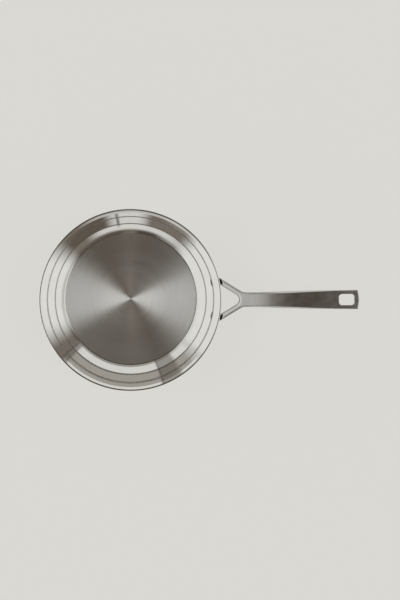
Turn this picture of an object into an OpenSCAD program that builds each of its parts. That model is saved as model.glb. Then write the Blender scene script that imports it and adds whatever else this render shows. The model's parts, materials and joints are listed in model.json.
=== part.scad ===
// Stainless steel frying pan: a drawn body with a stepped wall and a flared rim, a sandwich base
// and a forked handle held by two rivets. Lengths are in millimetres and angles in degrees. The
// origin is the centre of the base's underside. The handle points along +X, and +Z is up.

/* [Body] */
// Diameter over the rim
rim_d = 256; // [240:1:280]
// Height of the rim above the hob
pan_h = 55; // [50:0.5:64]
// Thickness of the drawn sheet
sheet_t = 0.9; // [0.7:0.05:1.1]
// Width of the level edge of the rim
edge_w = 0.5; // [0.3:0.1:1]
// Radius of the flare that turns the lip level
flare_r = 7; // [5:0.5:8]
// Width of the lip, from the upper wall to the outside of the rim
lip_w = 10.6; // [9.5:0.1:12]
// Slope of the lip above level
lip_angle = 38; // [32:1:42]
// Bend between the upper wall and the lip
lip_bend_r = 2.5; // [2:0.25:4]
// Width of the shoulder between the lower and the upper wall
shoulder_w = 10.3; // [9.5:0.1:12]
// Slope of the shoulder above level
shoulder_angle = 39; // [32:1:42]
// Bend at the top and the bottom of the walls, apart from the lip's
shoulder_bend_r = 2.2; // [1.6:0.2:3]
// Height of the upper wall, from the shoulder to the lip
upper_wall_h = 16.7; // [16.5:0.1:19]
// Width of the sloping corner between the floor and the lower wall
corner_w = 13.5; // [12:0.1:15]
// Height of that corner
corner_h = 7.5; // [6.5:0.25:9]
// Radius of that corner's hollow
corner_r = 60; // [48:2:80]
// Bend where the floor runs into the corner
foot_bend_r = 4; // [3:0.5:5]

/* [Base] */
// Thickness of the aluminium disc
core_t = 5; // [3.5:0.25:6]
// Thickness of the steel cap under it
cap_t = 0.7; // [0.5:0.05:1]
// Rounding of the cap's lower edge
cap_edge_r = 3; // [1.5:0.25:3.5]
// How far the cap stands in from the edge of the floor
cap_inset = 1.8; // [1.2:0.1:3]
// Diameter of the outermost turned groove under the cap
groove_d = 164; // [150:1:172]
// Distance between turned grooves, along the radius
groove_pitch = 9; // [7:0.5:10]
// Number of turned grooves
groove_count = 4; // [1:1:6]
// Width of a turned groove
groove_w = 1.2; // [0.8:0.1:2]
// Depth of a turned groove
groove_depth = 0.25; // [0.1:0.05:0.4]

/* [Handle] */
// Length from the rim to the tip
handle_l = 192; // [170:0.5:220]
// Rise of the tip's top face above the rim
tip_up = 31; // [25:0.5:39]
// Slope of the top face behind the knuckle
rise_angle = 19; // [15:0.5:22]
// Slope of the top face at the tip
tip_angle = 1.5; // [0:0.5:4]
// Thickness at the knuckle
root_t = 8.5; // [7.5:0.25:9.5]
// Thickness at the tip
tip_t = 6.5; // [5.5:0.25:7.5]
// Width at the narrowest place, behind the fork
grip_w = 20.4; // [19:0.2:22]
// Distance from the rim to that place
waist_x = 52; // [48:1:60]
// Width at the tip
tip_w = 27; // [25.4:0.2:30]
// Bow of the end face
tip_bow = 2; // [1:0.25:3]
// Rounding of the tip's corners, seen from above
tip_corner_r = 2; // [1:0.25:3]

/* [Fork] */
// Width of each arm
arm_w = 8; // [7:0.25:9]
// Angle between an arm and the handle's centre line
fork_angle = 31.5; // [29:0.5:34]
// Distance between the arms' centre lines at their knees
knee_w = 46.8; // [44:0.2:49]
// Distance from the rim to the knees
knee_out = 1.3; // [1:0.1:2.5]
// Rounding of an arm at its knee
knee_r = 4; // [3:0.5:6]
// Radius of the crotch between the arms
crotch_r = 8.4; // [6:0.2:10]
// Radius of the blend from an arm's outside into the grip
blend_r = 16; // [10:1:20]
// Depth of an arm's top below the rim, where it passes under the lip
neck_drop = 5.7; // [5:0.1:6.5]
// Thickness of an arm there
neck_t = 5.4; // [4.8:0.1:5.8]
// Room left between the handle and the rim, and under the lip's bend
rim_gap = 0.8; // [0.5:0.1:1.1]
// Height of the knuckle above the rim
knuckle_up = 1.5; // [0.5:0.25:4]
// Distance from the rim to the top of the knuckle
knuckle_out = 3.8; // [3.4:0.2:6]
// Rounding of the knuckle
knuckle_r = 2.5; // [1.5:0.25:3]
// Rounding of the heel under the knuckle
heel_r = 6; // [4:0.5:8]
// Thickness of the pad that lies against the wall
pad_t = 4.5; // [3.5:0.25:5.5]
// Width of the pad
pad_w = 13; // [12:0.5:15]
// Length of the pad below the rivet's centre
pad_drop = 7; // [6.5:0.25:7.5]
// Rounding of the pad's lower corners
pad_corner_r = 6; // [4:0.25:6]

/* [Hanging hole] */
// Length of the hole
hole_l = 20.8; // [18:0.2:25]
// Width of the hole
hole_w = 15.4; // [12:0.2:17]
// Radius of the hole's corners
hole_corner_r = 4; // [3:0.25:5.5]
// Metal left between the hole and the tip
hole_end_w = 7.2; // [5:0.1:9]

/* [Rivets] */
// Distance between the rivets' centres, measured straight across
rivet_spacing = 47; // [44:0.5:50]
// Depth of the rivets' centres below the rim
rivet_drop = 16.3; // [15.8:0.1:16.5]
// Diameter of the shank
shank_d = 5; // [4:0.25:6]
// Diameter of the head inside the pan
inner_head_d = 10.4; // [9:0.2:10.8]
// Height of the head inside the pan
inner_head_h = 1.9; // [1.6:0.1:2.3]
// Diameter of the head that is formed outside
outer_head_d = 8.4; // [7.2:0.2:8.8]
// Height of the head that is formed outside
outer_head_h = 1.5; // [1.3:0.1:1.9]
// Height of a head's straight edge, under its dome
head_edge_h = 0.9; // [0.5:0.05:1]

/* [Hidden] */
$fn = 96;
// One overrun serves every cut
cut = 1;
// Room round a rivet's shank, and between the pads and the wall
fit_gap = 0.03;
// Half-way across the sloping corner: its height there, as a share of the whole
corner_share = 0.43;
// The turn between two points of an arc, and the stretches of a curve
arc_step = 6;
curve_steps = 22;
// Where the handle's curve gets its two inner points, along its length
rise_share = 0.4;
settle_share = 0.45;
// How far an arm's straight outside runs past its knee, in arm widths
past_knee_share = 0.8;
// Both sides of what is mirrored
sides = [-1, 1];

// The drawn sheet, at its middle
rim_r = rim_d / 2;
stack_h = core_t + cap_t;
floor_z = stack_h + sheet_t / 2;
edge_z = pan_h - sheet_t / 2;
flare_x = rim_r - edge_w - flare_r * tan(lip_angle / 2);
upper_r = rim_r - lip_w;
lower_r = upper_r - shoulder_w;
lip_z = edge_z - (flare_x - upper_r) * tan(lip_angle);
shelf_z = lip_z - upper_wall_h;
step_z = shelf_z - shoulder_w * tan(shoulder_angle);
floor_r = lower_r - corner_w;
// The corner leaves room for the bends of the wall above it, with the sheet straight between them
corner_rise = min(corner_h, step_z - floor_z - 2 * shoulder_bend_r - sheet_t);
// The inside and the outside of the upper wall
wall_in_r = upper_r - sheet_t / 2;
wall_out_r = upper_r + sheet_t / 2;

// The base, inside the edge of the floor
cap_r = floor_r - cap_inset;
disc_r = cap_r - cap_t;

// The handle from the side, as radii from the pan's axis and heights
pad_in_r = wall_out_r + fit_gap;
pad_out_r = pad_in_r + pad_t;
neck_top_z = pan_h - neck_drop;
neck_low_z = neck_top_z - neck_t;
nook_z = lip_z - lip_bend_r * tan((90 - lip_angle) / 2) - rim_gap;
knuckle = [rim_r + knuckle_out, pan_h + knuckle_up];
heel = [knuckle.x - root_t * tan(rise_angle) / 2, neck_low_z];
tip = [rim_r + handle_l, pan_h + tip_up];
reach = norm(tip - knuckle);
rise_point = knuckle + rise_share * reach * [cos(rise_angle), sin(rise_angle)];
settle_point = tip - settle_share * reach * [cos(tip_angle), sin(tip_angle)];

// The handle from above
rivet_angle = asin(rivet_spacing / 2 / pad_in_r);
rivet_z = pan_h - rivet_drop;
pad_up = nook_z - rivet_z;
arm_side = [sin(fork_angle), cos(fork_angle)] * arm_w / 2;
arm_back = [-1, tan(fork_angle)] * arm_w * past_knee_share;
knee = [rim_r + knee_out, knee_w / 2];
inner_knee = knee - arm_side;
outer_knee = knee + arm_side + arm_back;
crotch_x = inner_knee.x + inner_knee.y / tan(fork_angle);
blend_x = outer_knee.x + (outer_knee.y - grip_w / 2) / tan(fork_angle);
waist_r = rim_r + waist_x;
corner_x = tip.x - tip_bow;
bow_r = (pow(tip_w / 2, 2) + pow(tip_bow, 2)) / (2 * tip_bow);
bow_angle = asin(tip_w / 2 / bow_r);
hole_x = tip.x - hole_end_w - hole_l / 2;

function unit(v) = v / norm(v);
function reversed(list) = [for (i = [len(list) - 1:-1:0]) list[i]];

// A point of an outline is [x, y], or [x, y, r] where its corner is rounded with radius r
function place(p) = [p.x, p.y];
function rounding(p) = len(p) > 2 ? p[2] : 0;
function mirrored(p) = [p.x, -p.y, rounding(p)];

// Points of an arc
function arc(centre, radius, from, to) =
    let (steps = max(2, ceil(abs(to - from) / arc_step)))
    [for (i = [0:steps]) let (a = from + (to - from) * i / steps) centre + radius * [cos(a), sin(a)]];

// The arc that rounds a corner
function corner_arc(before, corner, after, radius) =
    let (
        u = unit(before - corner),
        v = unit(after - corner),
        half = acos(u * v) / 2,
        centre = corner + unit(u + v) * radius / sin(half),
        start = corner + u * radius / tan(half) - centre,
        from = atan2(start.y, start.x),
        turn = (180 - 2 * half) * sign(cross(corner - before, after - corner))
    )
    arc(centre, radius, from, from + turn);

// A closed outline with its corners rounded
function rounded(points) =
    let (n = len(points))
    [for (i = [0:n - 1]) each (
        rounding(points[i]) == 0 ? [place(points[i])]
        : corner_arc(
            place(points[(i + n - 1) % n]), place(points[i]), place(points[(i + 1) % n]), rounding(points[i])
        )
    )];

// A path moved sideways by d, with its corners kept
function shifted(path, d) =
    let (last = len(path) - 1)
    [for (i = [0:last])
        let (
            before = unit(path[max(i, 1)] - path[max(i, 1) - 1]),
            after = unit(path[min(i, last - 1) + 1] - path[min(i, last - 1)]),
            side = [-before.y, before.x],
            middle = unit(side + [-after.y, after.x])
        )
        path[i] + middle * d / (middle * side)
    ];

// A length across the radius, carried round to the rivet's direction
function at_rivet(r, across) = [
    r * cos(rivet_angle) - across * sin(rivet_angle),
    r * sin(rivet_angle) + across * cos(rivet_angle)
];

// The curve along the handle's top face: its points, its direction, and the face under it
function top_point(t) =
    knuckle * pow(1 - t, 3) + 3 * rise_point * t * pow(1 - t, 2)
    + 3 * settle_point * t * t * (1 - t) + tip * pow(t, 3);
function top_direction(t) =
    unit((rise_point - knuckle) * pow(1 - t, 2) + 2 * (settle_point - rise_point) * t * (1 - t)
    + (tip - settle_point) * t * t);
function under_point(t) =
    let (d = top_direction(t))
    top_point(t) + (root_t + (tip_t - root_t) * t) * [d.y, -d.x];

// Half the grip's width, which grows from the waist and settles towards the tip
function half_width(x) =
    (tip_w - (tip_w - grip_w) * pow((corner_x - x) / (corner_x - waist_r), 2)) / 2;

// The middle of the sheet, from the floor's centre to the edge of the rim
function sheet_path() = rounded([
    [0, floor_z],
    [floor_r, floor_z, foot_bend_r],
    [(floor_r + lower_r) / 2, floor_z + corner_rise * corner_share, corner_r],
    [lower_r, floor_z + corner_rise, shoulder_bend_r],
    [lower_r, step_z, shoulder_bend_r],
    [upper_r, shelf_z, shoulder_bend_r],
    [upper_r, lip_z, lip_bend_r],
    [flare_x, edge_z, flare_r],
    [rim_r, edge_z]
]);

function side_outline() = rounded(concat(
    [
        [pad_in_r, neck_low_z],
        [pad_in_r, nook_z],
        [pad_out_r, neck_top_z],
        [rim_r + rim_gap, neck_top_z, rim_gap],
        [knuckle.x, knuckle.y, knuckle_r]
    ],
    [for (i = [1:curve_steps]) top_point(i / curve_steps)],
    [for (i = [curve_steps:-1:0]) under_point(i / curve_steps)],
    [[heel.x, heel.y, heel_r]]
));

// One side of the handle from above, from the inside of an arm to the tip's corner
function plan_side() = concat(
    [
        [inner_knee.x, inner_knee.y, knee_r],
        at_rivet(pad_out_r, -pad_w / 2),
        at_rivet(pad_in_r - pad_t, -pad_w / 2),
        at_rivet(pad_in_r - pad_t, pad_w / 2),
        at_rivet(pad_out_r, pad_w / 2),
        [outer_knee.x, outer_knee.y, knee_r],
        [blend_x, grip_w / 2, blend_r]
    ],
    [for (i = [0:curve_steps - 1])
        let (x = waist_r + (corner_x - waist_r) * i / curve_steps) [x, half_width(x)]],
    [[corner_x, tip_w / 2, tip_corner_r]]
);

function plan_outline() =
    let (bow = arc([tip.x - bow_r, 0], bow_r, bow_angle, -bow_angle))
    rounded(concat(
        [[crotch_x, 0, crotch_r]],
        plan_side(),
        [for (i = [1:len(bow) - 2]) bow[i]],
        [for (p = reversed(plan_side())) mirrored(p)]
    ));

// Half the outline of a round plate that reaches up to the body's floor, without its top
function plate_outline(r, low_z, edge_r) = rounded([[0, low_z], [r, low_z, edge_r], [r, stack_h]]);
function disc_outline() = plate_outline(disc_r, cap_t, cap_edge_r - cap_t);

// A solid turned round the pan's axis
module turned(outline) {
    rotate_extrude($fn = 180)
        polygon(outline);
}

module ring(in_r, out_r, h) {
    turned([[in_r, 0], [out_r, 0], [out_r, h], [in_r, h]]);
}

// What is placed along a rivet has the radius along +Z, and its own +X points down
module along_rivet(side) {
    rotate([0, 0, side * rivet_angle])
        translate([0, 0, rivet_z])
            rotate([0, 90, 0])
                children();
}

module rivet_holes(from_r, to_r) {
    for (side = sides)
        along_rivet(side)
            translate([0, 0, from_r - cut])
                cylinder(d = shank_d + 2 * fit_gap, h = to_r - from_r + 2 * cut);
}

module pan_body() {
    path = sheet_path();
    color([0.80, 0.79, 0.77])
        difference() {
            turned(concat(shifted(path, -sheet_t / 2), reversed(shifted(path, sheet_t / 2))));
            rivet_holes(wall_in_r, wall_out_r);
        }
}

module heat_disc() {
    color([0.86, 0.86, 0.87])
        turned(concat(disc_outline(), [[0, stack_h]]));
}

module base_cap() {
    outermost_r = groove_d / 2;
    color([0.70, 0.69, 0.67])
        difference() {
            turned(concat(plate_outline(cap_r, 0, cap_edge_r), reversed(disc_outline())));
            for (i = [0:groove_count - 1])
                translate([0, 0, -cut])
                    ring(
                        outermost_r - i * groove_pitch - groove_w / 2,
                        outermost_r - i * groove_pitch + groove_w / 2,
                        cut + groove_depth
                    );
        }
}

// A tab with rounded lower corners, cut from a ring that lies against the wall
module pad(side) {
    intersection() {
        along_rivet(side)
            translate([0, 0, pad_in_r - pad_t])
                linear_extrude(3 * pad_t)
                    polygon(rounded([
                        [pad_drop, -pad_w / 2, pad_corner_r],
                        [pad_drop, pad_w / 2, pad_corner_r],
                        [-pad_up, pad_w / 2],
                        [-pad_up, -pad_w / 2]
                    ]));
        ring(pad_in_r, pad_out_r, pan_h);
    }
}

module hanging_hole() {
    x = hole_l / 2;
    y = hole_w / 2;
    translate([hole_x, 0, 0])
        linear_extrude(tip.y + cut)
            polygon(rounded([for (p = [[x, y], [-x, y], [-x, -y], [x, -y]]) [p.x, p.y, hole_corner_r]]));
}

module handle() {
    color([0.56, 0.53, 0.50])
        difference() {
            union() {
                intersection() {
                    turned(side_outline());
                    linear_extrude(tip.y + cut)
                        polygon(plan_outline());
                }
                for (side = sides)
                    pad(side);
            }
            hanging_hole();
            rivet_holes(pad_in_r, pad_out_r);
        }
}

// A low dome on a short straight edge, which starts below z = 0 so that its foot can be cut to fit
module dome(d, h) {
    rise = h - head_edge_h;
    ball_r = (pow(d / 2, 2) + pow(rise, 2)) / (2 * rise);
    intersection() {
        translate([0, 0, h - ball_r])
            sphere(r = ball_r);
        translate([0, 0, -head_edge_h])
            cylinder(d = d, h = h + head_edge_h);
    }
}

// Each head's foot follows the round face that it bears on
module rivet(side) {
    color([0.76, 0.75, 0.73]) {
        intersection() {
            along_rivet(side)
                translate([0, 0, wall_in_r])
                    rotate([180, 0, 0])
                        dome(inner_head_d, inner_head_h);
            cylinder(r = wall_in_r - fit_gap, h = pan_h, $fn = 180);
        }
        along_rivet(side)
            translate([0, 0, wall_in_r - head_edge_h])
                cylinder(d = shank_d, h = pad_out_r - wall_in_r + 2 * head_edge_h);
        difference() {
            along_rivet(side)
                translate([0, 0, pad_out_r])
                    dome(outer_head_d, outer_head_h);
            cylinder(r = pad_out_r + fit_gap, h = pan_h, $fn = 180);
        }
    }
}

module rivet_left() {
    rivet(1);
}

module rivet_right() {
    rivet(-1);
}

pan_body();
heat_disc();
base_cap();
handle();
rivet_left();
rivet_right();
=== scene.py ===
# Stainless steel frying pan, seen from straight above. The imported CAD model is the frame, and every
# piece below repeats its sizes in millimetres, turned to metres when the mesh is made.
import json
import math

import bmesh
import bpy
import numpy as np
from mathutils import Euler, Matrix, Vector

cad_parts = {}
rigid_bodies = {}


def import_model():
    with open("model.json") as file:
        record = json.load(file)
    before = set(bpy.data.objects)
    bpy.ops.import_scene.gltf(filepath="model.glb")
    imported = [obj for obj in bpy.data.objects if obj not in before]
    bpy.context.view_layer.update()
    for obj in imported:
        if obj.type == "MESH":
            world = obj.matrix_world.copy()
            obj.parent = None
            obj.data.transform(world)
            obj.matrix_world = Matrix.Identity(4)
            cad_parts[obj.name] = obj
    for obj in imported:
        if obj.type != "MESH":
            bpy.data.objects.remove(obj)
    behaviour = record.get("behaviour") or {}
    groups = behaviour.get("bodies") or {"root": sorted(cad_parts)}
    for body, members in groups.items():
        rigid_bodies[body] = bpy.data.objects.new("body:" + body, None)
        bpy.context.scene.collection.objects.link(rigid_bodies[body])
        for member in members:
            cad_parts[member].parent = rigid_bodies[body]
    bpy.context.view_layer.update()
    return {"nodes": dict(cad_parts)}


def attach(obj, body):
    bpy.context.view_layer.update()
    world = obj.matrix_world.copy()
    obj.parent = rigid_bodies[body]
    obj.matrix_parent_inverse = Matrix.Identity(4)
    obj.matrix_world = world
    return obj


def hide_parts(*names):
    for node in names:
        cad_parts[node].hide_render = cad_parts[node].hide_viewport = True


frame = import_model()
print("frame: loaded", len(frame["nodes"]), "nodes")

mm = 0.001
scene = bpy.context.scene
scene.view_settings.view_transform = "Standard"


def toLinear(hexColour):
    # sRGB to linear: a channel up to 0.04045 is divided by 12.92, a larger one is
    # ((channel + 0.055) / 1.055) raised to 2.4
    channels = np.array([int(hexColour[i:i + 2], 16) for i in (1, 3, 5)]) / 255
    linear = np.where(channels <= 0.04045, channels / 12.92, ((channels + 0.055) / 1.055) ** 2.4)
    return (*linear.tolist(), 1.0)


def addNode(tree, kind, spot, values=None, links=None, **settings):
    # adds one node at spot, a (column, row) of the editor, sets its options and sockets, and links it
    node = tree.nodes.new(kind)
    node.location = (spot[0] * 220, -spot[1] * 180)
    for name, value in settings.items():
        setattr(node, name, value)
    for socket, value in (values or {}).items():
        node.inputs[socket].default_value = value
    for socket, source in (links or {}).items():
        tree.links.new(source, node.inputs[socket])
    return node


def shaded(hexColour, share):
    # the linear colour with its light multiplied by share, no brighter than white
    return (*[min(1.0, channel * share) for channel in toLinear(hexColour)[:3]], 1.0)


def newMaterial(name):
    material = bpy.data.materials.new(name)
    material.use_nodes = True
    tree = material.node_tree
    tree.nodes.clear()
    output = addNode(tree, "ShaderNodeOutputMaterial", (6, 0))
    return material, tree, output


def roundedPath(corners, step):
    # straight lines through corners (x, y, radius); each radius is an arc that touches both lines, with
    # a point every step degrees, and a support point just before and after it keeps the lines flat
    points = [np.array(corners[0][:2], float)]
    for before, here, after in zip(corners, corners[1:], corners[2:]):
        corner = np.array(here[:2], float)
        back = np.array(before[:2], float) - corner
        ahead = np.array(after[:2], float) - corner
        backLength, aheadLength = np.linalg.norm(back), np.linalg.norm(ahead)
        back, ahead = back / backLength, ahead / aheadLength
        radius = here[2]
        if radius == 0:
            points.append(corner)
            continue
        half = math.acos(np.clip(back @ ahead, -1, 1)) / 2
        reach = radius / math.tan(half)
        middle = (back + ahead) / np.linalg.norm(back + ahead)
        centre = corner + middle * radius / math.sin(half)
        first = corner + back * reach - centre
        last = corner + ahead * reach - centre
        turn = math.atan2(first[0] * last[1] - first[1] * last[0], first @ last)
        count = max(2, math.ceil(abs(math.degrees(turn)) / step))
        angles = math.atan2(first[1], first[0]) + turn * np.linspace(0, 1, count + 1)
        support = min(0.12, (backLength - reach) / 3, (aheadLength - reach) / 3)
        if support > 0.01:
            points.append(corner + back * (reach + support))
        points.extend(centre + radius * np.stack([np.cos(angles), np.sin(angles)], -1))
        if support > 0.01:
            points.append(corner + ahead * (reach + support))
    points.append(np.array(corners[-1][:2], float))
    return np.array(points)


def offsetCorners(corners, distance):
    # the same corners moved to the left of the path by distance, where each line keeps its direction and
    # each arc keeps its centre
    moved = []
    spots = np.array([c[:2] for c in corners], float)
    steps = np.diff(spots, axis=0)
    steps /= np.linalg.norm(steps, axis=1)[:, None]
    for i, corner in enumerate(corners):
        before = steps[max(i - 1, 0)]
        after = steps[min(i, len(steps) - 1)]
        side = np.array([-before[1], before[0]])
        middle = side + np.array([-after[1], after[0]])
        middle /= np.linalg.norm(middle)
        turn = np.sign(before[0] * after[1] - before[1] * after[0])
        radius = corner[2] - distance * turn if corner[2] else 0
        moved.append((*(spots[i] + middle * distance / (middle @ side)), radius))
    return moved


def gridQuads(rows, columns, wrap):
    # the quads of a grid whose point (i, j) has number i * columns + j; wrap joins the last column to
    # the first
    i, j = np.meshgrid(np.arange(rows - 1), np.arange(columns - (0 if wrap else 1)), indexing="ij")
    k = (j + 1) % columns
    corners = [i * columns + j, i * columns + k, (i + 1) * columns + k, (i + 1) * columns + j]
    return np.stack(corners, -1).reshape(-1, 4)


def turned(profile, segments):
    # a profile of (radius, height) turned round the pan's axis: x = r cos a, y = r sin a, z = height
    angles = np.linspace(0, 2 * np.pi, segments, endpoint=False)
    radius = profile[:, 0, None]
    height = np.broadcast_to(profile[:, 1, None], (len(profile), segments))
    points = np.stack([radius * np.cos(angles), radius * np.sin(angles), height], -1)
    return points.reshape(-1, 3), gridQuads(len(profile), segments, wrap=True)


def makePiece(name, points, quads, node, materials, sharpAngle):
    # a closed mesh from points in millimetres: doubles are merged, faces turned outwards and shaded
    # smooth, and the piece takes the place of the CAD node it is named for
    mesh = bpy.data.meshes.new(name)
    mesh.from_pydata((points * mm).tolist(), [], quads.tolist())
    shape = bmesh.new()
    shape.from_mesh(mesh)
    bmesh.ops.remove_doubles(shape, verts=shape.verts, dist=0.002 * mm)
    loose = [v for v in shape.verts if not v.link_faces]
    bmesh.ops.delete(shape, geom=loose, context="VERTS")
    bmesh.ops.recalc_face_normals(shape, faces=shape.faces)
    shape.to_mesh(mesh)
    shape.free()
    mesh.polygons.foreach_set("use_smooth", np.ones(len(mesh.polygons), bool))
    mesh.set_sharp_from_angle(angle=math.radians(sharpAngle))
    piece = bpy.data.objects.new(name, mesh)
    scene.collection.objects.link(piece)
    for material in materials:
        mesh.materials.append(material)
    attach(piece, "root")
    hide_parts(node)
    return piece


# roughness is the one across the brush lines. Real lines are about 0.1 mm apart, and lineSpacing draws
# them coarser, so that they show. lineTone is how much a line is lighter or darker than the metal. The
# metal's colour carries a painted highlight: it is full up to the start radius from the pan's axis, and
# falls to the edge share of it beyond the end radius, so the middle is painted brighter
floorFinish = {
    "metal": "#F8F7F5", "roughness": 0.32, "lineSpacing": 1.1, "lineDepth": 0.01, "lineTone": 0.05,
    "highlightStart": 20.0, "highlightEnd": 60.0, "highlightEdgeTone": 0.84,
}
capFinish = {
    "metal": "#C4C1BC", "roughness": 0.34, "lineSpacing": 1.2, "lineDepth": 0.006, "lineTone": 0.05,
    "highlightStart": 20.0, "highlightEnd": 60.0, "highlightEdgeTone": 0.84,
}


def flatDirection(tree, source, column):
    # the part of a vector that lies level, and its direction
    split = addNode(tree, "ShaderNodeSeparateXYZ", (column, 0), links={0: source})
    flat = addNode(
        tree, "ShaderNodeCombineXYZ", (column + 1, 1), links={0: split.outputs[0], 1: split.outputs[1]}
    ).outputs[0]
    aside = addNode(
        tree, "ShaderNodeVectorMath", (column + 2, 2), links={0: flat}, operation="NORMALIZE"
    ).outputs[0]
    return split, flat, aside


def brushedSteel(name, p):
    # stainless steel brushed in circles with an abrasive pad: fine rings throw a fan of light along
    # each radius. A painted highlight makes the steel's colour a little brighter near the middle, as in the
    # photograph
    metal, roughness = p["metal"], p["roughness"]
    material, tree, output = newMaterial(name)
    place = addNode(tree, "ShaderNodeTexCoord", (-5, 0)).outputs["Object"]
    _, flat, outward = flatDirection(tree, place, -4)
    radius = addNode(
        tree, "ShaderNodeVectorMath", (-2, 1), links={0: flat}, operation="LENGTH"
    ).outputs["Value"]
    aside = addNode(tree, "ShaderNodeSeparateXYZ", (-1, 2), links={0: outward})
    ringCount = addNode(
        tree, "ShaderNodeMath", (-1, 1), {1: 1 / (p["lineSpacing"] * mm)}, {0: radius}, operation="MULTIPLY"
    )
    # a point's ring number and its direction make a noise that is long round the ring and short across
    rings = addNode(
        tree, "ShaderNodeCombineXYZ", (0, 1),
        links={0: ringCount.outputs[0], 1: aside.outputs[0], 2: aside.outputs[1]},
    )
    fine = addNode(
        tree, "ShaderNodeTexNoise", (1, 1), {"Scale": 1.0, "Detail": 3.0, "Roughness": 0.7},
        {"Vector": rings.outputs[0]},
    )
    wide = addNode(
        tree, "ShaderNodeTexNoise", (1, 2), {"Scale": 0.22, "Detail": 1.0, "Roughness": 0.5},
        {"Vector": rings.outputs[0]},
    )
    streak = addNode(tree, "ShaderNodeMapRange", (2, 1), {1: 0.34, 2: 0.66}, {0: fine.outputs["Fac"]})
    dark, light = (shaded(metal, 1 + p["lineTone"] * sign) for sign in (-1, 1))
    lines = addNode(
        tree, "ShaderNodeMix", (3, 1), {6: dark, 7: light}, {0: streak.outputs[0]}, data_type="RGBA"
    )
    # painted highlight: the steel's colour is full near the pan's axis and falls to the edge share further
    # out
    fade = addNode(
        tree, "ShaderNodeMapRange", (3, 2),
        {1: p["highlightStart"] * mm, 2: p["highlightEnd"] * mm, 3: 1.0, 4: p["highlightEdgeTone"]}, {0: radius},
        interpolation_type="SMOOTHSTEP",
    )
    tone = addNode(
        tree, "ShaderNodeMix", (4, 1), {0: 1.0}, {6: lines.outputs[2], 7: fade.outputs[0]},
        data_type="RGBA", blend_type="MULTIPLY",
    )
    rough = addNode(
        tree, "ShaderNodeMapRange", (2, 2), {1: 0.3, 2: 0.7, 3: roughness * 0.9, 4: roughness * 1.1},
        {0: wide.outputs["Fac"]},
    )
    bump = addNode(
        tree, "ShaderNodeBump", (3, 3), {"Strength": 1.0, "Distance": p["lineDepth"] * mm},
        {"Height": fine.outputs["Fac"]},
    )
    surface = addNode(
        tree, "ShaderNodeBsdfPrincipled", (4, 0), {"Metallic": 1.0, "Anisotropic": 1.0},
        {
            "Base Color": tone.outputs[2], "Roughness": rough.outputs[0],
            "Normal": bump.outputs[0], "Tangent": outward,
        },
    )
    tree.links.new(surface.outputs[0], output.inputs[0])
    return material


wallFinish = {"metal": "#DBDAD7", "roughness": 0.07, "hazeSize": 22.0, "waveDepth": 0.004}
handleFinish = {"metal": "#CBCAC9", "roughness": 0.2, "hazeSize": 9.0, "waveDepth": 0.003}
rivetFinish = {"metal": "#A8A39D", "roughness": 0.2, "hazeSize": 5.0, "waveDepth": 0.002}
discFinish = {"metal": "#DDDDDE", "roughness": 0.32, "hazeSize": 14.0, "waveDepth": 0.002}


def polishedMetal(name, p):
    # metal polished after it was drawn, cast or rolled: clear reflections, a faint haze in patches and
    # the last waviness of the polishing wheel, 2.5 times as fine as the haze
    metal, roughness = p["metal"], p["roughness"]
    material, tree, output = newMaterial(name)
    place = addNode(tree, "ShaderNodeTexCoord", (-4, 0)).outputs["Object"]
    haze, waves = (
        addNode(
            tree, "ShaderNodeTexNoise", (-2, row),
            {"Scale": fineness / (p["hazeSize"] * mm), "Detail": detail}, {"Vector": place},
        ).outputs["Fac"]
        for row, fineness, detail in ((0, 1, 3.0), (2, 2.5, 1.0))
    )
    dark, light = (shaded(metal, share) for share in (0.94, 1.05))
    tone = addNode(
        tree, "ShaderNodeMix", (0, 0), {6: dark, 7: light}, {0: haze}, data_type="RGBA"
    )
    rough = addNode(
        tree, "ShaderNodeMapRange", (0, 1), {1: 0.3, 2: 0.7, 3: roughness * 0.8, 4: roughness * 1.2},
        {0: haze},
    )
    bump = addNode(
        tree, "ShaderNodeBump", (0, 2), {"Strength": 1.0, "Distance": p["waveDepth"] * mm},
        {"Height": waves},
    )
    surface = addNode(
        tree, "ShaderNodeBsdfPrincipled", (3, 0), {"Metallic": 1.0},
        {"Base Color": tone.outputs[2], "Roughness": rough.outputs[0], "Normal": bump.outputs[0]},
    )
    tree.links.new(surface.outputs[0], output.inputs[0])
    return material


floorSteel = brushedSteel("circularBrushedSteel", floorFinish)
wallSteel = polishedMetal("mirrorPolishedSteel", wallFinish)
capSteel = brushedSteel("turnedCapSteel", capFinish)
handleSteel = polishedMetal("polishedCastSteel", handleFinish)
rivetSteel = polishedMetal("polishedRivetSteel", rivetFinish)
discAluminium = polishedMetal("rolledAluminium", discFinish)
print("materials: made")


body = {
    "sheet": 0.9, "floorHeight": 6.15, "floorRadius": 93.6, "footBend": 4.0, "hollowHeight": 9.375,
    "hollowRadius": 60.0, "cornerHeight": 13.65, "lowerRadius": 107.1, "stepHeight": 23.50,
    "upperRadius": 117.4, "shelfHeight": 31.84, "wallBend": 2.2, "lipHeight": 48.54, "lipBend": 2.5,
    "flare": (123.1, 52.75), "flareRadius": 5.0, "edgeStart": 126.4, "edgeBend": 1.2,
    "rimRadius": 128.0, "rimHeight": 55.0, "brushedRadius": 92.8, "arcStep": 3.8, "floorRings": 12,
    "sharpAngle": 50,
}


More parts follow.
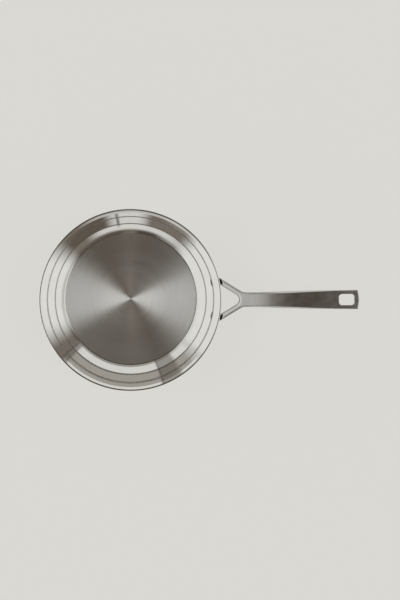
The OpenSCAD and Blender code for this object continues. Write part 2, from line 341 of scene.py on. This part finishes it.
def sheetProfile(p):
    # the drawn sheet's section: its middle line is offset by half the thickness both ways, and a half
    # circle closes it at the rim. The CAD's one flare is split here into a slight bend and a tight one
    half = p["sheet"] / 2
    edge = p["rimHeight"] - half
    middle = [
        (0, p["floorHeight"], 0), (p["floorRadius"], p["floorHeight"], p["footBend"]),
        ((p["floorRadius"] + p["lowerRadius"]) / 2, p["hollowHeight"], p["hollowRadius"]),
        (p["lowerRadius"], p["cornerHeight"], p["wallBend"]),
        (p["lowerRadius"], p["stepHeight"], p["wallBend"]),
        (p["upperRadius"], p["shelfHeight"], p["wallBend"]),
        (p["upperRadius"], p["lipHeight"], p["lipBend"]),
        (*p["flare"], p["flareRadius"]), (p["edgeStart"], edge, p["edgeBend"]),
        (p["rimRadius"] - half, edge, 0),
    ]
    inside, outside = (roundedPath(offsetCorners(middle, d), p["arcStep"]) for d in (half, -half))
    turns = np.radians(np.linspace(90, -90, 11)[1:-1])
    end = np.array([p["rimRadius"] - half, edge]) + half * np.stack([np.cos(turns), np.sin(turns)], -1)
    # rings across the level floor keep its faces short
    rings = np.linspace(0, p["floorRadius"] - 3, p["floorRings"])
    floor = np.stack([rings, np.full(len(rings), p["floorHeight"])], -1)
    return np.concatenate([
        floor + [0, half], inside[1:], end, outside[:0:-1], floor[::-1] - [0, half],
    ])


points, quads = turned(sheetProfile(body), segments=384)
panBody = makePiece(
    "drawnBody", points, quads, "pan_body", [wallSteel, floorSteel], body["sharpAngle"]
)
centres = np.empty(len(panBody.data.polygons) * 3)
panBody.data.polygons.foreach_get("center", centres)
centres = centres.reshape(-1, 3) / mm
reach = np.hypot(centres[:, 0], centres[:, 1])
onFloor = (reach < body["brushedRadius"]) & (centres[:, 2] > body["floorHeight"])
panBody.data.polygons.foreach_set("material_index", onFloor.astype(np.int32))
print("body:", len(panBody.data.polygons), "faces")


cap = {
    "radius": 91.8, "height": 5.7, "edge": 3.0, "sheet": 0.7, "groove": 82.0, "pitch": 9.0, "grooves": 4,
    "grooveWidth": 1.2, "grooveDepth": 0.25, "grooveSlope": 0.1, "grooveRounding": 0.05, "sharpAngle": 30,
}


def capProfile(p):
    # the cap's section: its underside with turned grooves, the rounded edge, and the inside of the sheet
    inner = p["radius"] - p["sheet"]
    under = [(0, 0, 0)]
    wide, depth = p["grooveWidth"] / 2, p["grooveDepth"]
    narrow = wide - p["grooveSlope"]
    section = ((-wide, 0), (-narrow, depth), (narrow, depth), (wide, 0))
    for i in range(p["grooves"] - 1, -1, -1):
        middle = p["groove"] - i * p["pitch"]
        under += [(middle + aside, height, p["grooveRounding"]) for aside, height in section]
    under += [(p["radius"], 0, p["edge"]), (p["radius"], p["height"], 0)]
    inside = [(inner, p["height"], 0), (inner, p["sheet"], p["edge"] - p["sheet"]), (0, p["sheet"], 0)]
    return np.concatenate([roundedPath(under, step=9), roundedPath(inside, step=12)])


points, quads = turned(capProfile(cap), segments=256)
makePiece("turnedCap", points, quads, "base_cap", [capSteel], cap["sharpAngle"])
disc = frame["nodes"]["heat_disc"]
disc.data.materials.clear()
disc.data.materials.append(discAluminium)
print("base: made")


casting = {
    "knuckle": (131.8, 56.5), "riseAngle": 19.0, "riseShare": 0.4, "tip": (320.0, 86.0), "tipAngle": 1.5,
    "settleShare": 0.45, "rootThickness": 8.5, "tipThickness": 6.5, "neckTop": 49.3, "neckLow": 43.9,
    "neckEnd": 128.8, "neckRounding": 0.8, "knuckleRounding": 2.5, "heel": 130.34, "heelRounding": 6.0,
    "gripWidth": 20.4, "waist": 180.0, "tipWidth": 27.0, "tipBow": 2.0, "tipCorner": 2.0,
    "innerKnee": (127.21, 19.99), "outerKnee": (124.99, 30.73), "kneeRounding": 4.0, "forkAngle": 31.5,
    "crotchRounding": 8.4, "blendRounding": 16.0, "rivetAngle": 11.497, "padFace": 122.38, "padWidth": 13.0,
    "padEnd": 106.6, "padCorner": 6.4, "bendStart": 123.33, "bendHeight": 43.4, "bendRadius": 3.2,
    "padThickness": 4.5, "holeMiddle": 302.4, "holeLength": 20.8, "holeWidth": 15.4, "holeCorner": 4.0,
    "holeRounding": 0.6, "bevelStart": (154.0, 168.0), "bevelSlope": 30.0, "bevelFoot": 0.25,
    "neckStart": 90.0, "heelBlend": 7.0, "padBlend": 4.0, "padReach": 120.0, "sharpAngle": 60,
}

# where each row of the handle's grid crosses it: a spot on the inner and on the outer edge, or the
# distance of both from the pan's axis, the steps from the row before, and the rounding of the four edges
# there: top inner, top outer, low inner, low outer. On the grip, top outer is the width of the bevel
rows = [
    ((106.6, 0), (106.6, 0), 0, (0.4, 0.4, 1.2, 1.2)),
    ((113.0, -6.5), (113.0, 6.5), 16, (0.4, 0.4, 1.2, 1.2)),
    ((118.3, -6.5), (118.3, 6.5), 6, (0.5, 0.5, 1.3, 1.3)),
    (123.4, 123.4, 16, (1.2, 1.2, 1.3, 1.3)),
    (127.2, 127.2, 8, (1.8, 1.8, 1.6, 1.2)),
    (133.6, 133.6, 30, (3.2, 2.6, 2.2, 1.2)),
    (138.0, 138.0, 8, (3.4, 2.8, 2.2, 1.2)),
    ((148.14, 7.16), (152.32, 13.98), 12, (3.6, 2.8, 2.2, 1.2)),
    ((152.15, 0), (159.0, 10.7), 16, (3.8, 2.4, 2.2, 1.2)),
    ((155.2, 0), (161.6, 10.3), 14, (3.8, 1.9, 2.2, 1.2)),
    ((166.0, 0), (166.4, 10.2), 8, (3.8, 2.2, 2.2, 1.4)),
    ((225.0, 0), (224.0, 12.0), 36, (0.7, 2.6, 0.8, 1.6)),
    ((285.2, 0), (282.2, 13.3), 30, (0.7, 1.3, 0.8, 1.4)),
    ((290.8, 0), (286.6, 13.3), 5, (0.7, 1.1, 0.8, 1.4)),
    ((292.0, 0), (287.6, 13.3), 5, (0.7, 1.1, 0.8, 1.4)),
    ((292.0, 3.7), (291.8, 13.4), 6, (0.7, 1.1, 0.8, 1.4)),
    ((296.0, 7.7), (296.4, 13.4), 12, (0.7, 1.1, 0.8, 1.4)),
    ((308.8, 7.7), (309.1, 13.5), 12, (0.7, 1.0, 0.8, 1.4)),
    ((312.8, 3.7), (318.3, 9.0), 16, (0.7, 0.8, 0.8, 1.2)),
    ((312.8, 0), (320.0, 0), 10, (0.7, 0.8, 0.8, 1.2)),
]


def unit(angle):
    return np.array([math.cos(math.radians(angle)), math.sin(math.radians(angle))])


def sideProfiles(p):
    # the top and the low line of the handle seen from the side, as (radius from the pan's axis, height):
    # a cubic curve from the knuckle to the tip, the low line square below it, and straight lines to the
    # neck under the rim
    knuckle, tip = np.array(p["knuckle"]), np.array(p["tip"])
    reach = np.linalg.norm(tip - knuckle)
    rise = knuckle + p["riseShare"] * reach * unit(p["riseAngle"])
    settle = tip - p["settleShare"] * reach * unit(p["tipAngle"])
    t = np.linspace(0, 1, 240)[:, None]
    early, late = 3 * t * (1 - t) ** 2, 3 * t ** 2 * (1 - t)
    curve = knuckle * (1 - t) ** 3 + rise * early + settle * late + tip * t ** 3
    slope = np.gradient(curve, axis=0)
    slope /= np.linalg.norm(slope, axis=1)[:, None]
    thickness = p["rootThickness"] + (p["tipThickness"] - p["rootThickness"]) * t
    low = curve + thickness * np.stack([slope[:, 1], -slope[:, 0]], -1)
    # the rounded start of each line joins the curve at its sample number join
    join = 6
    top = roundedPath([
        (p["neckStart"], p["neckTop"], 0), (p["neckEnd"], p["neckTop"], p["neckRounding"]),
        (*knuckle, p["knuckleRounding"]), (*curve[join], 0),
    ], step=4)
    heel = roundedPath([
        (p["neckStart"], p["neckLow"], 0), (p["heel"], p["neckLow"], p["heelRounding"]),
        (*low[0], p["heelBlend"]), (*low[join], 0),
    ], step=4)
    return np.concatenate([top, curve[join + 1:]]), np.concatenate([heel, low[join + 1:]])


def fromRivet(p, spot):
    # a spot (along the rivet's direction, across it) turned into the pan's own x and y
    a = math.radians(p["rivetAngle"])
    x, y = spot
    return (x * math.cos(a) - y * math.sin(a), x * math.sin(a) + y * math.cos(a))


def denseLine(points, spacing):
    # points along a polyline, spacing apart
    length = np.concatenate([[0], np.cumsum(np.linalg.norm(np.diff(points, axis=0), axis=1))])
    s = np.linspace(0, length[-1], int(length[-1] / spacing) + 1)
    return np.stack([np.interp(s, length, points[:, 0]), np.interp(s, length, points[:, 1])], -1)


def planEdges(p):
    # one half of the handle seen from above, with its pad laid flat: the inner edge runs round the
    # crotch and along the centre line and the hanging hole, and the outer edge runs to the tip
    tilt = math.tan(math.radians(p["forkAngle"]))
    innerKnee, outerKnee = p["innerKnee"], p["outerKnee"]
    crotch = innerKnee[0] + innerKnee[1] / tilt
    innerPad, outerPad = (
        [
            (*fromRivet(p, (p["padEnd"], 0)), 0), (*fromRivet(p, (p["padEnd"], side)), p["padCorner"]),
            (*fromRivet(p, (p["padFace"], side)), p["padBlend"]),
        ]
        for side in (-p["padWidth"] / 2, p["padWidth"] / 2)
    )
    arm = roundedPath(innerPad + [
        (*innerKnee, p["kneeRounding"]), (crotch, 0, p["crotchRounding"]), (innerKnee[0], -innerKnee[1], 0),
    ], step=2)
    arm = arm[arm[:, 1] > 0.001]
    apex = crotch - p["crotchRounding"] / math.sin(math.radians(p["forkAngle"])) + p["crotchRounding"]
    arm = np.concatenate([arm, [[apex, 0]]])
    halfLength, halfWidth = p["holeLength"] / 2, p["holeWidth"] / 2
    start, stop = p["holeMiddle"] - halfLength, p["holeMiddle"] + halfLength
    hole = roundedPath([
        (start, 0, 0), (start, halfWidth, p["holeCorner"]), (stop, halfWidth, p["holeCorner"]),
        (stop, 0, 0),
    ], step=5)
    end = p["tip"][0] - p["tipBow"]
    blend = outerKnee[0] + (outerKnee[1] - p["gripWidth"] / 2) / tilt
    x = np.linspace(p["waist"], end, 60)
    share = (end - x) / (end - p["waist"])
    side = (p["tipWidth"] - (p["tipWidth"] - p["gripWidth"]) * share ** 2) / 2
    # the tip is a flat bow: an arc through both corners and the point of the tip
    halfTip = p["tipWidth"] / 2
    bowRadius = (halfTip ** 2 + p["tipBow"] ** 2) / (2 * p["tipBow"])
    bowAngles = np.linspace(math.asin(halfTip / bowRadius), 0, 20)
    bow = bowRadius * np.stack([np.cos(bowAngles) - 1, np.sin(bowAngles)], -1) + [p["tip"][0], 0]
    outer = outerPad + [
        (*outerKnee, p["kneeRounding"]), (blend, p["gripWidth"] / 2, p["blendRounding"]),
    ]
    outer += [(a, b, 0) for a, b in zip(x[:-1], side[:-1])]
    outer += [(x[-1], side[-1], p["tipCorner"])] + [(a, b, 0) for a, b in bow[1:]]
    inner, outer = np.concatenate([arm, hole]), roundedPath(outer, step=2)
    fine, coarse = 0.05, 0.2
    lines = ((inner, fine), (outer, fine), (arm, coarse), (hole, coarse))
    return [denseLine(line, spacing) for line, spacing in lines]


def distanceTo(line, spots):
    # the least distance from each spot to a densely sampled line, corrected for the sampling by taking
    # the part square to the line at the nearest sample
    farthestSlide = 0.15
    best = np.empty(len(spots))
    ahead = np.gradient(line, axis=0)
    ahead /= np.linalg.norm(ahead, axis=1)[:, None]
    for block in np.array_split(np.arange(len(spots)), max(1, len(spots) // 2000)):
        gap = spots[block, None] - line[None]
        nearest = (gap ** 2).sum(-1).argmin(1)
        away = gap[np.arange(len(block)), nearest]
        slide = np.clip((away * ahead[nearest]).sum(-1), -farthestSlide, farthestSlide)
        best[block] = np.linalg.norm(away - slide[:, None] * ahead[nearest], axis=1)
    return best


def edgeDrop(distance, radius):
    # how far a rounded edge falls below the face, at a distance from the outline
    short = np.clip(radius - distance, 0, radius)
    return radius - np.sqrt(np.maximum(radius ** 2 - short ** 2, 0))


def bevelDrop(p, distance, width):
    # the same for a bevel: an even slope over its width, and a small rounding at its foot
    slope = math.tan(math.radians(p["bevelSlope"]))
    return np.clip(width - distance, 0, width) * slope + edgeDrop(distance, p["bevelFoot"])


def handleGrid(p):
    # one half of the handle as a grid: each row crosses from the inner to the outer edge over the top and
    # comes back underneath. Heights come from the side profiles at the point's distance from the pan's
    # axis, less the rounding of the edges, and the pads are then bent down against the wall
    inner, outer, armEdge, holeEdge = planEdges(p)
    reachInner, reachOuter = np.hypot(*inner.T), np.hypot(*outer.T)

    def nearest(line, reach, spot):
        if isinstance(spot, tuple):
            if spot[0] < p["padReach"]:
                spot = fromRivet(p, spot)
            return int(np.hypot(line[:, 0] - spot[0], line[:, 1] - spot[1]).argmin())
        return int(np.abs(reach - spot)[:len(line) // 3].argmin())

    marks = np.array(
        [(nearest(inner, reachInner, a), nearest(outer, reachOuter, b)) for a, b, _, _ in rows], float
    )
    counts = np.cumsum([r[2] for r in rows])
    station = np.arange(counts[-1] + 1)
    at = [np.interp(station, counts, marks[:, k]) for k in (0, 1)]
    edges = []
    for line, index in zip((inner, outer), at):
        low = np.minimum(index.astype(int), len(line) - 2)
        part = (index - low)[:, None]
        edges.append(line[low] * (1 - part) + line[low + 1] * part)
    onCentre = edges[0][:, 1] < 0.0015
    edges[0][onCentre, 1] = 0
    edges[1][-1] = (p["tip"][0], 0)
    roundings = np.array([r[3] for r in rows])
    rounding = np.stack([np.interp(station, counts, roundings[:, k]) for k in range(4)], -1)

    width = np.linalg.norm(edges[1] - edges[0], axis=1)
    curl = 1 - np.cos(np.linspace(0, np.pi / 2, 8))
    middle = np.linspace(0, 1, 12)[1:-1]
    widestEdge = 0.45

    def across(inRadius, outRadius):
        # shares of the width: close together over each rounded edge, even between them
        a = np.minimum(inRadius / width, widestEdge)[:, None]
        b = np.minimum(outRadius / width, widestEdge)[:, None]
        return np.concatenate([a * curl, a + (1 - a - b) * middle, 1 - b * curl[::-1]], 1)

    topProfile, lowProfile = sideProfiles(p)
    faces = []
    for profile, inRadius, outRadius, sign in (
        (topProfile, rounding[:, 0], rounding[:, 1], -1), (lowProfile, rounding[:, 2], rounding[:, 3], 1),
    ):
        # a row that ends in a point has no width to round
        wide = width > 0.01
        share = across(inRadius * wide + 1e-9, outRadius * wide + 1e-9)
        spots = edges[0][:, None] + (edges[1] - edges[0])[:, None] * share[..., None]
        flat = spots.reshape(-1, 2)
        columns = share.shape[1]
        # the fork's outer edge is rounded, and on top of the grip the rounding turns into a bevel
        outDistance, outReach = distanceTo(outer[::4], flat), np.repeat(outRadius, columns)
        bevelled = np.interp(flat[:, 0], p["bevelStart"], (0, 1)) * (sign < 0)
        rounded = edgeDrop(outDistance, outReach)
        drop = np.maximum.reduce([
            edgeDrop(distanceTo(armEdge, flat), np.repeat(inRadius, columns)),
            rounded + (bevelDrop(p, outDistance, outReach) - rounded) * bevelled,
            edgeDrop(distanceTo(holeEdge, flat), np.full(len(flat), p["holeRounding"])),
        ])
        height = np.interp(np.hypot(flat[:, 0], flat[:, 1]), profile[:, 0], profile[:, 1]) + sign * drop
        faces.append(np.concatenate([flat, height[:, None]], 1).reshape(len(width), columns, 3))
    top, low = faces
    sideSteps = 5
    down = np.linspace(0, 1, sideSteps + 1)[1:-1, None]
    outSide = top[:, -1:, :] * (1 - down) + low[:, -1:, :] * down
    inSide = low[:, :1, :] * (1 - down) + top[:, :1, :] * down
    grid = np.concatenate([top, outSide, low[:, ::-1], inSide], 1)
    count, columns = grid.shape[:2]
    quads = gridQuads(count, columns, wrap=True).reshape(count - 1, columns, 4)
    # where the inner edge lies on the centre line, the other half takes over and no side is needed
    shared = onCentre[:-1] & onCentre[1:]
    sideColumns = np.arange(columns) >= columns - sideSteps
    keep = ~(shared[:, None] & sideColumns[None])
    return bendPads(p, grid.reshape(-1, 3)), quads[keep]


def bendPads(p, points):
    # inside the bend's start, the flat pattern is rolled down: first an arc of a quarter turn, then
    # straight down, with the faces following circles round the pan's axis
    a = math.radians(p["rivetAngle"])
    x, y, z = points.T
    across = -x * math.sin(a) + y * math.cos(a)
    reach = np.hypot(x, y)
    beyond = np.clip(p["bendStart"] - reach, 0, None)
    middle = (p["neckTop"] + p["neckLow"]) / 2
    quarter = p["bendRadius"] * np.pi / 2
    thin = 1 + (p["padThickness"] / (p["neckTop"] - p["neckLow"]) - 1) * np.clip(beyond / quarter, 0, 1)
    height = (z - middle) * thin
    turn = np.clip(beyond / p["bendRadius"], 0, np.pi / 2)
    radius = p["bendStart"] - p["bendRadius"] * np.sin(turn) - height * np.sin(turn)
    bentHeight = p["bendHeight"] + (p["bendRadius"] + height) * np.cos(turn)
    bentHeight -= np.clip(beyond - quarter, 0, None)
    bent = np.stack([*fromRivet(p, (np.sqrt(radius ** 2 - across ** 2), across)), bentHeight], -1)
    return np.where((beyond > 0)[:, None], bent, points)


half, quads = handleGrid(casting)
points = np.concatenate([half, half * [1, -1, 1]])
quads = np.concatenate([quads, quads + len(half)])
handle = makePiece(
    "forkedHandle", points, quads, "handle", [handleSteel], casting["sharpAngle"]
)
print("handle:", len(handle.data.polygons), "faces")


rivet = {
    "angle": casting["rivetAngle"], "height": 38.7, "wall": 116.95, "pad": casting["padFace"], "gap": 0.03,
    "shank": 5.0, "innerHead": 10.4, "innerRise": 1.9, "outerHead": 8.4, "outerRise": 1.5, "edge": 0.9,
    "rounding": 0.3, "roundingHeight": 0.27, "segments": 72, "sharpAngle": 40,
}


def domeLine(p, width, rise):
    # a head's section from its middle to its foot, as (distance from the axis, height over the tangent
    # plane): an arc through the middle and the edge, then a rounded shoulder
    r, bow = width / 2, rise - p["edge"]
    flatReach = r - p["rounding"]
    ball = (r * r + bow ** 2) / (2 * bow)
    u = np.linspace(0, flatReach, 14)
    arc = np.stack([u, rise - ball + np.sqrt(ball ** 2 - u ** 2)], -1)
    turn = np.linspace(0, np.pi / 2, 6)[1:]
    shoulder = np.stack([
        flatReach + p["rounding"] * np.sin(turn), arc[-1, 1] - p["roundingHeight"] * (1 - np.cos(turn)),
    ], -1)
    return np.concatenate([arc, shoulder])


def rivetGrid(p, side):
    # rings round the rivet's axis, from the middle of the inner head over its edge and foot, along the
    # shank, and out over the outer head; feet follow the round faces that they bear on
    spin = np.linspace(0, 2 * np.pi, p["segments"], endpoint=False)
    innerDome = domeLine(p, p["innerHead"], p["innerRise"])
    outerDome = domeLine(p, p["outerHead"], p["outerRise"])[::-1]

    def ring(u, along, onCircle=0):
        sideways, up = u * np.cos(spin), u * np.sin(spin)
        reach = np.full(len(spin), float(along))
        if onCircle:
            reach = np.sqrt(onCircle ** 2 - sideways ** 2)
        return np.stack([reach, sideways, up + p["height"]], -1)

    rings = [ring(u, p["wall"] - h) for u, h in innerDome]
    foot, seat = p["wall"] - p["gap"], p["pad"] + p["gap"]
    bearing = ((p["innerHead"], foot), (p["shank"], foot), (p["shank"], seat), (p["outerHead"], seat))
    rings += [ring(width / 2, 0, onCircle) for width, onCircle in bearing]
    rings += [ring(u, p["pad"] + h) for u, h in outerDome]
    points = np.concatenate(rings)
    a = math.radians(p["angle"] * side)
    x = points[:, 0] * math.cos(a) - points[:, 1] * math.sin(a)
    y = points[:, 0] * math.sin(a) + points[:, 1] * math.cos(a)
    return np.stack([x, y, points[:, 2]], -1), gridQuads(len(rings), len(spin), wrap=True)


for side, name in ((1, "left"), (-1, "right")):
    points, quads = rivetGrid(rivet, side)
    makePiece(
        "rivet" + name.capitalize(), points, quads, "rivet_" + name, [rivetSteel],
        rivet["sharpAngle"],
    )
print("rivets: made")


studio = {
    "ground": "#D9D8D3", "groundSize": 30.0, "groundDrop": 0.2, "groundLines": 5, "shadowShare": 0.35,
    "lift": 0.84, "room": "#585047", "lens": 205.0, "sensor": 36, "clipEnd": 60, "distance": 4.8,
    "tilt": (-2.3, -0.6), "roll": -0.33, "aim": (0.0977, -0.0005, 0.055),
}

palette = {
    "lamp": "#FDFDFB", "paper": "#F2F1EE", "shade": "#C8C6C2", "plaster": "#B4B0A9",
    "dusk": "#867E75", "umber": "#6B6259", "seam": "#3E3731",
}

# what the polished steel mirrors, each laid over the ones before it: the middle azimuth, counted from +X
# towards +Y, half the width and its softness, the lowest and the highest elevation and their softness,
# the colour, and how much of it covers what lies behind
panels = [
    ("frontGlow", 270, 5, 3, 34, 80, 5, "dusk", 1.0),
    ("backWall", 90, 52, 3, -12, 23.5, 1.5, "plaster", 1.0),
    ("backScreen", 90, 52, 3, 23.5, 42, 2, "paper", 1.0),
    ("backTable", 90, 56, 4, -12, 4, 4, "umber", 0.85),
    ("frontDark", 303, 30, 8, -12, 42, 8, "umber", 1.0),
    ("frontSide", 312, 14, 7, 19, 36, 5, "dusk", 1.0),
    ("cornerWall", 30, 11, 4, -12, 42, 6, "dusk", 0.9),
    ("frontWall", 246, 20, 9, -12, 18, 4, "dusk", 1.0),
    ("frontScreen", 267, 30, 9, 21.5, 33, 4, "paper", 0.95),
    ("frontWindow", 271, 11, 6, -12, 30, 5, "paper", 0.95),
    ("doorway", 120, 7, 2, -12, 50, 4, "umber", 0.65),
    ("screenEdge", 230, 12, 9, 20, 37, 8, "paper", 0.75),
    ("lowBoxLeft", 183, 41.5, 8, -12, 44, 6, "lamp", 1.0),
    ("lowBoxRight", 353, 29, 10, -12, 40, 6, "lamp", 1.0),
    ("ceilingRight", 352, 27.5, 9, 41, 86, 3, "lamp", 1.0),
    ("ceilingLeft", 174, 33, 9, 43, 55.5, 2, "paper", 1.0),
    ("ceilingLeftMiddle", 174, 33, 9, 55.5, 60, 2, "shade", 1.0),
    ("ceilingLeftUpper", 174, 33, 9, 59.5, 65, 3, "paper", 1.0),
    ("ceilingLeftTop", 174, 33, 9, 65, 71.5, 2, "dusk", 1.0),
    ("seamFront", 278, 0.8, 0.6, -12, 24, 6, "seam", 0.8),
    ("seamCorner", 38.5, 0.8, 0.5, -12, 44, 4, "seam", 0.5),
    ("seamCornerNext", 41.5, 0.8, 0.5, -12, 44, 4, "seam", 0.5),
    ("seamDoor", 113, 0.6, 0.5, -12, 50, 4, "seam", 0.65),
]


def addPanel(tree, row, behind, aside, rise, panel):
    # lays one panel over the colour behind it. Round the horizon its edges follow the cosine of the angle
    # to its middle, and up and down they follow the elevation
    name, azimuth, half, soft, low, high, fade, colour, cover = panel
    turn = math.radians(azimuth)
    middle = addNode(
        tree, "ShaderNodeVectorMath", (row, 1), {1: (math.cos(turn), math.sin(turn), 0)}, {0: aside},
        operation="DOT_PRODUCT",
    )
    outer = math.cos(math.radians(half + soft))
    inner = math.cos(math.radians(max(half - soft, 0)))
    # soft steps from nothing at start to the full value at stop
    steps = (
        (outer, inner, cover, middle.outputs["Value"]),
        (math.radians(low - fade), math.radians(low + fade), 1, rise),
        (math.radians(high + fade), math.radians(high - fade), 1, rise),
    )
    sideways, above, below = (
        addNode(
            tree, "ShaderNodeMapRange", (row, 2 + i), {1: start, 2: stop, 4: full}, {0: source},
            interpolation_type="SMOOTHSTEP",
        ).outputs[0]
        for i, (start, stop, full, source) in enumerate(steps)
    )
    band = addNode(tree, "ShaderNodeMath", (row, 5), links={0: above, 1: below}, operation="MULTIPLY")
    share = addNode(
        tree, "ShaderNodeMath", (row, 6), links={0: sideways, 1: band.outputs[0]}, operation="MULTIPLY"
    )
    mix = addNode(
        tree, "ShaderNodeMix", (row, 0), {7: toLinear(palette[colour])}, {0: share.outputs[0]},
        data_type="RGBA", label=name,
    )
    if behind is None:
        mix.inputs[6].default_value = toLinear(studio["room"])
    else:
        tree.links.new(behind, mix.inputs[6])
    return mix.outputs[2]


def paintWorld():
    # a dim room with the panels in it, painted by the direction of sight
    world = bpy.data.worlds.new("softStudio")
    scene.world = world
    world.use_nodes = True
    tree = world.node_tree
    tree.nodes.clear()
    direction = addNode(tree, "ShaderNodeTexCoord", (-6, 0)).outputs["Generated"]
    split, _, aside = flatDirection(tree, direction, -5)
    rise = addNode(tree, "ShaderNodeMath", (-4, 0), links={0: split.outputs[2]}, operation="ARCSINE")
    colour = None
    for row, panel in enumerate(panels):
        colour = addPanel(tree, row, colour, aside, rise.outputs[0], panel)
    light = addNode(tree, "ShaderNodeBackground", (len(panels), 0), links={0: colour})
    addNode(tree, "ShaderNodeOutputWorld", (len(panels) + 1, 0), links={0: light.outputs[0]})


def groundMaterial(p):
    # matt pale paper: it takes the object's shadow, and what the soft light leaves it short of its own
    # colour is added for the camera and for the metal's reflections. From below it can't be seen
    material, tree, output = newMaterial("palePaper")
    matt = addNode(tree, "ShaderNodeBsdfDiffuse", (1, 0), {0: shaded(p["ground"], p["shadowShare"])})
    glow = addNode(tree, "ShaderNodeEmission", (1, 1), {0: toLinear(p["ground"]), 1: p["lift"]})
    path = addNode(tree, "ShaderNodeLightPath", (0, 2)).outputs
    seen = path["Is Camera Ray"]
    for column, ray in ((1, "Is Glossy Ray"), (2, "Is Transmission Ray")):
        seen = addNode(
            tree, "ShaderNodeMath", (column, 2), links={0: seen, 1: path[ray]}, operation="MAXIMUM"
        ).outputs[0]
    both = addNode(tree, "ShaderNodeAddShader", (2, 0), links={0: matt.outputs[0], 1: glow.outputs[0]})
    lit = addNode(
        tree, "ShaderNodeMixShader", (3, 0), links={0: seen, 1: matt.outputs[0], 2: both.outputs[0]}
    )
    clear = addNode(tree, "ShaderNodeBsdfTransparent", (3, 1))
    back = addNode(tree, "ShaderNodeNewGeometry", (3, 2)).outputs["Backfacing"]
    surface = addNode(
        tree, "ShaderNodeMixShader", (4, 0), links={0: back, 1: lit.outputs[0], 2: clear.outputs[0]}
    )
    tree.links.new(surface.outputs[0], output.inputs[0])
    return material


def makeGround(p):
    # a level sheet just under the pan, in metres, facing up
    count = p["groundLines"]
    reach = np.linspace(-p["groundSize"], p["groundSize"], count)
    x, y = np.meshgrid(reach, reach, indexing="ij")
    points = np.stack([x, y, np.full_like(x, -p["groundDrop"] * mm)], -1).reshape(-1, 3)
    mesh = bpy.data.meshes.new("ground")
    mesh.from_pydata(points.tolist(), [], gridQuads(count, count, wrap=False)[:, ::-1].tolist())
    ground = bpy.data.objects.new("ground", mesh)
    mesh.materials.append(groundMaterial(p))
    scene.collection.objects.link(ground)


def makeCamera(p):
    # nearly straight above: it backs away from its aim along its own axis, with a small tilt and roll
    data = bpy.data.cameras.new("camera")
    data.lens = p["lens"]
    data.sensor_width = p["sensor"]
    data.clip_end = p["clipEnd"]
    camera = bpy.data.objects.new("camera", data)
    turn = Euler([math.radians(a) for a in (*p["tilt"], p["roll"])])
    camera.rotation_euler = turn
    camera.location = Vector(p["aim"]) + turn.to_matrix() @ Vector((0, 0, p["distance"]))
    scene.collection.objects.link(camera)
    scene.camera = camera


paintWorld()
makeGround(studio)
makeCamera(studio)
print("studio: made with", len(panels), "panels")
